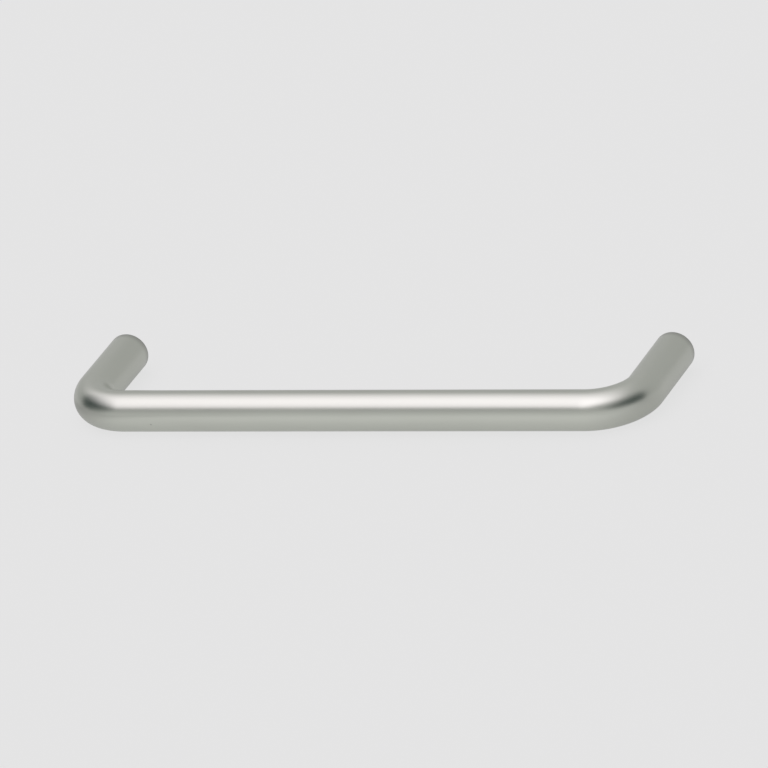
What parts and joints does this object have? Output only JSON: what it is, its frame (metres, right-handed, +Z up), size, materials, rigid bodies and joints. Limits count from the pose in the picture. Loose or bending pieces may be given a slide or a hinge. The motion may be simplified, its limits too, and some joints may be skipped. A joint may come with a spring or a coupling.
{
  "type": "wire pull handle",
  "caption": "U-shaped wire pull handle bent from round rod, with a tapped screw hole in each leg end, for pulling a drawer or cabinet door open.",
  "frame": {"origin": "midway between the two screw holes, on the plane of the leg ends, which is the face of the door or drawer", "axes": "+X along the bar from hole to hole, +Y into the door, so the bar stands off towards -Y, +Z up on a handle fixed across a drawer front"},
  "size_m": [0.137, 0.035, 0.009],
  "materials": {
    "satin_nickel": "satin nickel plate on a steel rod, with a fine matt grain"
  },
  "bodies": {
    "root": {"handle": "satin_nickel"}
  },
  "joints": []
}
